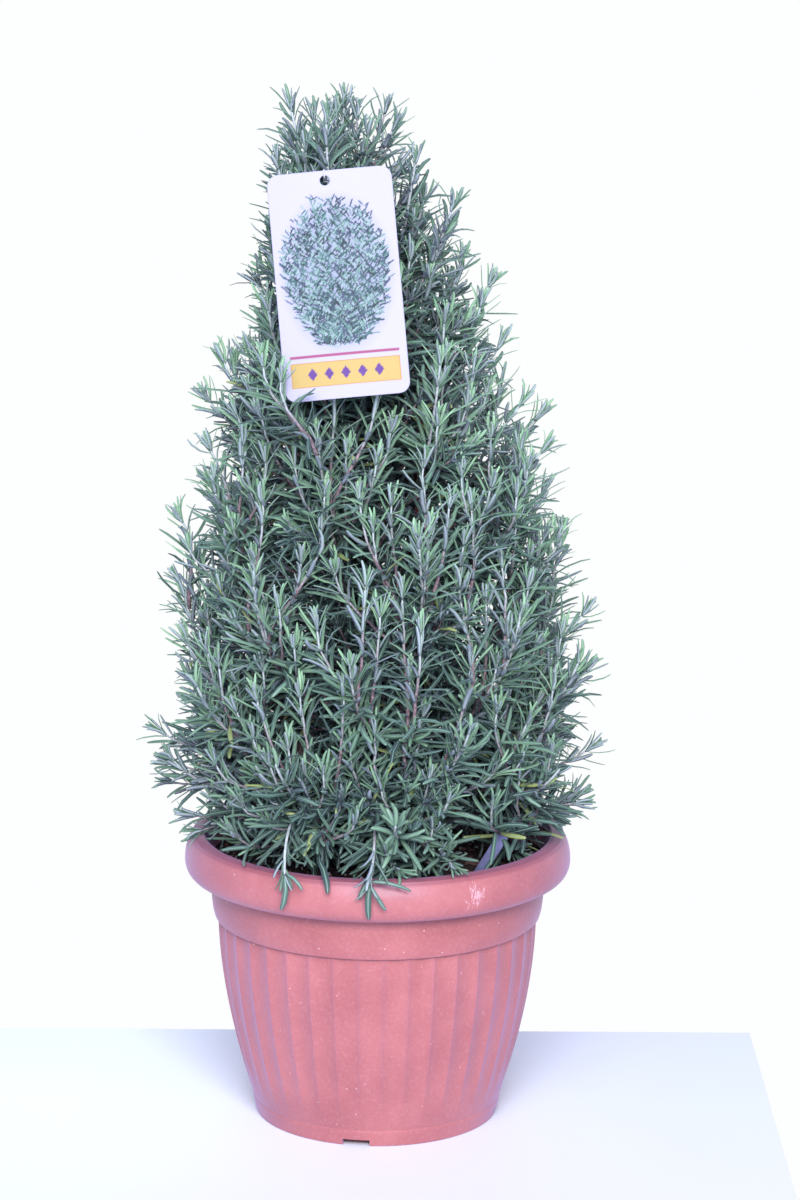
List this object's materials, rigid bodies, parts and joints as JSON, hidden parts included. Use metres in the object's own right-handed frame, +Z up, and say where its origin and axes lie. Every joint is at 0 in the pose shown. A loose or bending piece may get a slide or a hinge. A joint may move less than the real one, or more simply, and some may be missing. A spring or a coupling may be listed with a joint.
{
  "type": "potted rosemary plant",
  "caption": "Rosemary bush clipped to a cone, needles on upright sprays, in a fluted terracotta-coloured pot with a rolled rim, with soil, a hang tag and a plant label.",
  "frame": {"origin": "on the floor, at the centre of the pot's foot", "axes": "+Z up along the pot's axis, -Y towards the front, where the tag hangs, +X to the right seen from the front"},
  "size_m": [0.2834, 0.2796, 0.662],
  "materials": {
    "pot": "moulded polypropylene, satin, dusty and lightly scuffed",
    "soil": "loose peat and bark potting mix, matte and crumbly",
    "bark": "thin flaking bark, matte",
    "needles": "leathery leaf, satin, with a pale underside",
    "card": "coated card, semi-gloss print",
    "tie": "thin white plastic filament",
    "label": "lavender-blue plastic strip, satin"
  },
  "bodies": {
    "root": {"pot": "pot", "soil": "soil", "hang_tag": "card", "tag_tie": "tie", "plant_label": "label", "woody_stem_01": "bark", "woody_stem_02": "bark", "woody_stem_03": "bark", "woody_stem_04": "bark", "woody_stem_05": "bark", "woody_stem_06": "bark", "woody_stem_07": "bark", "woody_stem_08": "bark", "woody_stem_09": "bark", "woody_stem_10": "bark", "spray_01": "needles", "spray_02": "needles", "spray_03": "needles", "spray_04": "needles", "spray_05": "needles", "spray_06": "needles", "spray_07": "needles", "spray_08": "needles", "spray_09": "needles", "spray_10": "needles", "spray_11": "needles", "spray_12": "needles", "spray_13": "needles", "spray_14": "needles", "spray_15": "needles", "spray_16": "needles", "spray_17": "needles", "spray_18": "needles", "spray_19": "needles", "spray_20": "needles", "spray_21": "needles", "spray_22": "needles", "spray_23": "needles", "spray_24": "needles", "spray_25": "needles", "spray_26": "needles", "spray_27": "needles", "spray_28": "needles", "spray_29": "needles", "spray_30": "needles", "spray_31": "needles", "spray_32": "needles", "spray_33": "needles", "spray_34": "needles", "spray_35": "needles", "spray_36": "needles", "spray_37": "needles", "spray_38": "needles", "spray_39": "needles", "spray_40": "needles", "spray_41": "needles", "spray_42": "needles", "spray_43": "needles", "spray_44": "needles"}
  },
  "joints": []
}
